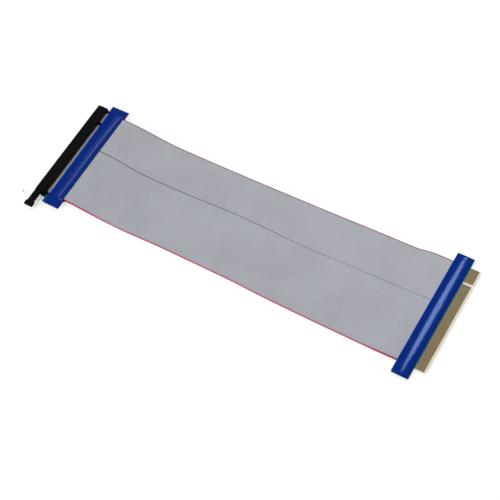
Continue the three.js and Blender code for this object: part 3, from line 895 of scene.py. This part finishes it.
class RISER_OT_ribbons(Operator):
    """Makes the four ridged ribbons, each a row of wires swept along its route"""

    bl_idname = "riser.ribbons"
    bl_label = "Flat ribbons"

    def execute(self, context):
        ribbon = context.scene.riser_ribbon
        contacts = context.scene.riser_contacts
        half_board = context.scene.riser_board.thickness / 2
        # The narrow ribbons' red mark carries painted shade, darker than the near mark
        far_grey = ribbon_insulation("narrow_insulation", ribbon, ribbon.shaded_far_wire)
        near_grey = ribbon_insulation("wide_insulation", ribbon, ribbon.near_wire)
        far = contact_places(contacts)[0] + contacts.pitch / 2
        near = far - (ribbon.narrow_wires + ribbon.wide_wires) * contacts.pitch
        for layer, side in (("upper", 1), ("lower", -1)):
            for name, edge, wires, turn, line, mark, material in (
                ("narrow", far, ribbon.narrow_wires, -1.0, FAR_LINE, ribbon.far_mark, far_grey),
                ("wide", near, ribbon.wide_wires, 1.0, NEAR_LINE, ribbon.near_mark, near_grey),
            ):
                node = f"ribbon_{layer}_{name}"
                sizes = {
                    "wires": wires,
                    "edge_place": edge,
                    "turn": turn,
                    "mark_width": mark,
                    "seam_lift": 1.0 if side > 0 else LOWER_SEAM_LIFT,
                }
                tree = self.tree(ribbon, contacts, line, sizes)
                route = self.route(node, ribbon, half_board, side)
                piece = tree.make(f"{layer}_{name}_ribbon", route, material)
                dressed(piece, EXTENDER, "ribbon", node)
        return {"FINISHED"}

    def route(self, node, ribbon, half_board, side):
        """The line that a ribbon follows from one board to the other, as a mesh."""
        low, high = corners(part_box(node))
        half = ribbon.thickness / 2
        stack = half_board + RIBBON_GAP + half
        table = RIBBON_GAP + half + (ribbon.thickness + RIBBON_GAP if side > 0 else 0)
        leave = low.x + ribbon.lap + LEVEL_PAST_SLOT
        arrive = high.x - ribbon.lap - LEVEL_BEFORE_PLUG

        def level(x):
            off_slot = smooth_step((x - leave) / ribbon.slot_runout)
            off_plug = smooth_step((arrive - x) / ribbon.plug_runout)
            slot = SLOT_MIDDLE + side * stack - table
            plug = PLUG_MIDDLE + side * stack - table
            return table + slot * (1 - off_slot) + plug * (1 - off_plug)

        places = [low.x + (high.x - low.x) * i / ROUTE_STEPS for i in range(ROUTE_STEPS + 1)]
        points = [(x, 0, level(x)) for x in places]
        mesh = bpy.data.meshes.new(node + "_route")
        mesh.from_pydata(points, [(i, i + 1) for i in range(ROUTE_STEPS)], [])
        return mesh

    def tree(self, ribbon, contacts, line, sizes):
        """Sweeps a section of round wires along the route and lets it drift like the real one."""
        tree = Modifier(
            f"Ribbon of {sizes['wires']}",
            steps_per_wire=ribbon.steps,
            pitch=contacts.pitch,
            thickness=ribbon.thickness,
            valley=ribbon.valley,
            seam_at_slot=ribbon.seam_at_slot,
            seam_at_plug=ribbon.seam_at_plug,
            **sizes,
        )
        size = tree.inputs
        steps = size["wires"] * size["steps_per_wire"]
        circle = tree.add("GeometryNodeCurvePrimitiveCircle", {"Resolution": steps * 2 + 2})
        index = tree.add("GeometryNodeInputIndex")
        across = index.math("MINIMUM", steps * 2 + 1 - index) / steps
        upper = 1 - (index > steps + 0.5) * 2
        lane = across * size["wires"]
        swing = lane.math("FRACT") * 2 - 1
        dome = (1 - swing * swing).math("MAXIMUM", 0.0).math("SQRT")
        rise = size["thickness"] * 0.5 - size["valley"] * (1 - dome)
        place = tree.add("ShaderNodeCombineXYZ", {"X": lane * size["pitch"], "Y": rise * upper})
        section = tree.add("GeometryNodeSetPosition", {"Geometry": circle, "Position": place})
        for name, value in (("wire", lane), ("mark", lane < size["mark_width"])):
            sockets = {"Geometry": section, "Name": name, "Value": value}
            section = tree.add(
                "GeometryNodeStoreNamedAttribute", sockets, data_type="FLOAT", domain="POINT"
            )
        spine = tree.add("GeometryNodeMeshToCurve", {"Mesh": tree.geometry})
        spine = tree.add("GeometryNodeSetCurveNormal", {"Curve": spine}, mode="Z_UP")
        sockets = {"Curve": spine, "Profile Curve": section, "Fill Caps": True}
        swept = tree.add("GeometryNodeCurveToMesh", sockets)

        x, y, z = tree.split(tree.add("GeometryNodeInputPosition"))
        share = abs(y) / (size["wires"] * size["pitch"])
        outer_drift, outer_lift = (tree.profile(x, points, REACH) for points in line)
        seam_drift, seam_lift = (tree.profile(x, points, REACH) for points in SEAM_LINE)
        drift = outer_drift * (1 - share) + seam_drift * share
        lift = outer_lift * (1 - share) + seam_lift * share * size["seam_lift"]
        lift = lift.math("MAXIMUM", 0.0)
        along = x.smooth(-SEAM_RUN, SEAM_RUN)
        seam = size["seam_at_slot"] * (1 - along) + size["seam_at_plug"] * along
        trim = share.smooth(SEAM_FROM, 1.0) * seam * 0.5
        placed = size["edge_place"] + (abs(y) - trim) * size["turn"] + drift
        moved = tree.add("ShaderNodeCombineXYZ", {"X": x, "Y": placed, "Z": z + lift})
        shaped = tree.add("GeometryNodeSetPosition", {"Geometry": swept, "Position": moved})
        sockets = {"Mesh": shaped, "Selection": size["turn"] < 0.0}
        outward = tree.add("GeometryNodeFlipFaces", sockets)
        tree.close(tree.add("GeometryNodeSetShadeSmooth", {"Geometry": outward}))
        return tree


class RISER_OT_tapes(Operator):
    """Makes the two sleeves of blue tape, wound round the boards and the ends of the ribbons"""

    bl_idname = "riser.tapes"
    bl_label = "Tape sleeves"

    def execute(self, context):
        tape = context.scene.riser_tape
        board = context.scene.riser_board
        ribbon = context.scene.riser_ribbon
        half = board.thickness / 2
        stack = half + ribbon.thickness + RIBBON_AIR + tape.thickness
        flat = half + tape.thickness + BOARD_AIR
        over_tails = half + TAIL_AIR + tape.thickness
        closed = tape.thickness + SELF_AIR
        ridge = stack + RIDGE_RISE
        material = blue_tape(tape)

        low, high = corners(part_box("slot_tape"))
        wires = ribbon.narrow_wires + ribbon.wide_wires
        ribbon_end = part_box("ribbon_upper_wide")[0][0]
        ribbon_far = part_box("ribbon_upper_narrow")[1][1]
        ribbon_near = ribbon_far - wires * context.scene.riser_contacts.pitch

        def under_ridge(ahead):
            """How far the tape lies below its ridge, at a distance from it towards the slot."""
            bend = RIDGE_SLOPE * max(0.0, min(ahead, RIDGE_BEND)) ** 2 / (2 * RIDGE_BEND)
            slope = RIDGE_SLOPE * max(0.0, ahead - RIDGE_BEND)
            return bend + slope + RIDGE_CURVE * max(0.0, ahead - RIDGE_STRAIGHT) ** 2

        def slot_lift(x, y):
            """How far the tape stands off the board's middle, over the tails and the ribbons."""
            past_tails = smooth_step((x - MOUTH_X - TAILS_END) / TAIL_STEP)
            past_board = smooth_step((x - SLOT_BOARD_HIGH.x) / BOARD_STEP)
            base = over_tails + (flat - over_tails) * past_tails + (closed - flat) * past_board
            drift = tape.fold * smooth_step((y - ribbon_far + FOLD_START) / FOLD_RUN)
            over = ridge - under_ridge(ribbon_end + RIDGE_PLACE - drift - x)
            beside = smooth_step((y - ribbon_near + SIDE_START) / SIDE_RUN)
            beside *= smooth_step((ribbon_far + SIDE_START - y) / SIDE_RUN)
            return base + max(0.0, over - base) * beside

        def crease(x, y, seed):
            """Fine creases across the slot tape, a fifth as high as the plug tape's dents."""
            place = Vector((x * CREASES[0], y * CREASES[1], seed))
            return abs(noise.noise(place)) * tape.wrinkle / 5

        def slot_top(x, y):
            return SLOT_MIDDLE + slot_lift(x, y) + crease(x, y, 1)

        def slot_bottom(x, y):
            return SLOT_MIDDLE - slot_lift(x, y) - crease(x, y, 9)

        left = [MOUTH_X + place for place in TAPE_LEFT]
        mesh = self.sleeve(
            "slot_tape_sleeve", low, high, left, slot_top, slot_bottom, tape.thickness
        )
        piece = shaded(linked("slot_tape_sleeve", mesh, material), SLEEVE_CREASE)
        dressed(piece, EXTENDER, "tape", "slot_tape")

        low, high = corners(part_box("plug_tape"))
        crest = low.x + CREST

        def plug_fall(x):
            return max(0.0, x - crest) ** 2 / (2 * tape.crown)

        def plug_top(x, y):
            """Level over the ribbons' ends, then a long curve down to the board."""
            corner = smooth_step((x - high.x + DENT_X) / DENT_X_RUN)
            corner *= smooth_step((y - high.y + DENT_Y) / DENT_Y_RUN)
            place = Vector((x * DENTS[0], y * DENTS[1], 4))
            dent = noise.noise(place) * tape.wrinkle * corner
            return PLUG_MIDDLE + stack - plug_fall(x) + dent

        def plug_bottom(x, y):
            return max(PLUG_MIDDLE - stack + plug_fall(x), TABLE_GAP)

        left = [low.x, low.x]
        mesh = self.sleeve(
            "plug_tape_sleeve", low, high, left, plug_top, plug_bottom, tape.thickness
        )
        piece = shaded(linked("plug_tape_sleeve", mesh, material), SLEEVE_CREASE)
        dressed(piece, EXTENDER, "tape", "plug_tape")
        return {"FINISHED"}

    def sleeve(self, name, low, high, left, top, bottom, wall):
        """A thin closed tube round the y ends. Its left edge runs between the places given."""
        across, along, turn = SLEEVE_ACROSS, SLEEVE_ALONG, SLEEVE_TURN
        work = bmesh.new()

        def spot(share, y):
            start = left[0] + (left[1] - left[0]) * (y - low.y) / (high.y - low.y)
            return start + (high.x - start) * share

        def ring(share, inset):
            near, far = low.y + inset, high.y - inset
            radius = SLEEVE_END - inset
            points = []
            span = far - near - 2 * radius
            for i in range(along + 1):
                y = near + radius + span * i / along
                x = spot(share, y)
                points.append((x, y, top(x, y) - inset))
            for side, begin in ((1, 90), (-1, 270)):
                y = far - radius if side > 0 else near + radius
                x = spot(share, y)
                middle = (top(x, y) + bottom(x, y)) / 2
                half = (top(x, y) - bottom(x, y)) / 2 - inset
                for i in range(1, turn):
                    angle = math.radians(begin - 180 * i / turn)
                    out, up = radius * math.cos(angle), half * math.sin(angle)
                    points.append((x, y + out, middle + up))
                if side > 0:
                    for i in range(along + 1):
                        y = far - radius - span * i / along
                        x = spot(share, y)
                        points.append((x, y, bottom(x, y) + inset))
            return [work.verts.new(point) for point in points]

        outer = [ring(i / across, 0) for i in range(across + 1)]
        inner = [ring(i / across, wall) for i in range(across + 1)]
        bridge(work, [*outer, *reversed(inner), outer[0]])
        bmesh.ops.recalc_face_normals(work, faces=work.faces)
        return finished(work, name)


class RISER_OT_stage(Operator):
    """Makes the floor, the lamps, the world and the camera"""

    bl_idname = "riser.stage"
    bl_label = "Stage"

    def execute(self, context):
        stage = context.scene.riser_stage
        self.camera(context, stage)
        self.floor(stage)
        self.world(context)
        for lamp in LAMPS:
            self.lamp(*lamp)
        context.scene.view_settings.view_transform = "Standard"
        return {"FINISHED"}

    def camera(self, context, stage):
        data = bpy.data.cameras.new("camera")
        data.lens = stage.lens
        data.sensor_width = SENSOR_WIDTH
        camera = linked("camera", data)
        turn = (
            Matrix.Rotation(stage.azimuth, 4, "Z")
            @ Matrix.Rotation(math.pi / 2 - stage.elevation, 4, "X")
        )
        roll = Matrix.Rotation(stage.roll, 4, "Z")
        back = turn @ Vector((0, 0, stage.distance))
        aim = Vector((stage.aim_x, stage.aim_y, 0))
        camera.matrix_world = Matrix.Translation(aim + back) @ turn @ roll
        context.scene.camera = camera

    def floor(self, stage):
        """A pale floor that the camera sees as white, with the object's shadow on it."""
        under = Matrix.Translation((0, 0, -FLOOR_DROP))
        work = bmesh.new()
        bmesh.ops.create_grid(work, x_segments=4, y_segments=4, size=FLOOR_REACH, matrix=under)
        mesh = finished(work, "floor")
        finish = Finish("pale_floor", roughness=0.9, specular_ior_level=0.0)
        cloud = finish.noise(3, 2)
        finish.set("Base Color", finish.tint(stage.floor[:], 0.99, cloud))
        glow = finish.add("ShaderNodeEmission", {"Color": WHITE, "Strength": 1.0})
        share = self.seen(finish) * FLOOR_GLOW
        sockets = {0: share, 1: Wire(finish, finish.shader.outputs[0]), 2: glow}
        surface = finish.add("ShaderNodeMixShader", sockets)
        finish.tree.links.new(surface.socket, finish.output.inputs[0])
        linked("floor", mesh, finish.material)

    def seen(self, graph):
        """1 for a ray that shows the background: from the camera, a gloss or a glass."""
        paths = [
            graph.add("ShaderNodeLightPath", output=name)
            for name in ("Is Camera Ray", "Is Glossy Ray", "Is Transmission Ray")
        ]
        return paths[0].math("MAXIMUM", paths[1]).math("MAXIMUM", paths[2])

    def world(self, context):
        world = bpy.data.worlds.new("studio")
        context.scene.world = world
        world.use_nodes = True
        graph = Graph(world.node_tree)
        world.node_tree.nodes.clear()
        sky = graph.mix(self.seen(graph), SKY, WHITE)
        light = graph.add("ShaderNodeBackground", {"Color": sky, "Strength": 1.0})
        output = world.node_tree.nodes.new("ShaderNodeOutputWorld")
        world.node_tree.links.new(light.socket, output.inputs[0])

    def lamp(self, name, place, aim, width, depth, power):
        data = bpy.data.lights.new(name, "AREA")
        data.shape = "ELLIPSE"
        data.size = width
        data.size_y = depth
        data.energy = power
        lamp = linked(name, data)
        lamp.location = place
        view = Vector(aim) - Vector(place)
        lamp.rotation_euler = view.to_track_quat("-Z", "Y").to_euler()


class RISER_PT_panel(Panel):
    """The sizes, the colours and the pieces"""

    bl_label = "Riser cable"
    bl_idname = "RISER_PT_panel"
    bl_space_type = "VIEW_3D"
    bl_region_type = "UI"
    bl_category = "Riser"

    def draw(self, context):
        for title, attribute, group, operators in SECTIONS:
            box = self.layout.box()
            box.label(text=title)
            for key in group.__annotations__:
                box.prop(getattr(context.scene, attribute), key)
            for operator in operators:
                box.operator(operator.bl_idname)


SECTIONS = [
    ("Contacts", "riser_contacts", RiserContactSettings, []),
    ("Boards", "riser_board", RiserBoardSettings, [RISER_OT_slot_board, RISER_OT_plug_board]),
    ("Ribbons", "riser_ribbon", RiserRibbonSettings, [RISER_OT_ribbons]),
    ("Tapes", "riser_tape", RiserTapeSettings, [RISER_OT_tapes]),
    (
        "Mouldings",
        "riser_moulding",
        RiserMouldingSettings,
        [RISER_OT_slot_housing, RISER_OT_latch],
    ),
    ("Stage", "riser_stage", RiserStageSettings, [RISER_OT_stage]),
]


def register():
    for _, attribute, group, operators in SECTIONS:
        bpy.utils.register_class(group)
        setattr(bpy.types.Scene, attribute, PointerProperty(type=group))
        for operator in operators:
            bpy.utils.register_class(operator)
    bpy.utils.register_class(RISER_PT_panel)


def unregister():
    bpy.utils.unregister_class(RISER_PT_panel)
    for _, attribute, group, operators in reversed(SECTIONS):
        for operator in operators:
            bpy.utils.unregister_class(operator)
        delattr(bpy.types.Scene, attribute)
        bpy.utils.unregister_class(group)


def main():
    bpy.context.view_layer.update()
    register()
    bpy.ops.riser.stage()
    bpy.ops.riser.slot_housing()
    bpy.ops.riser.latch()
    bpy.ops.riser.slot_board()
    bpy.ops.riser.plug_board()
    bpy.ops.riser.ribbons()
    bpy.ops.riser.tapes()


if __name__ == "__main__":
    main()
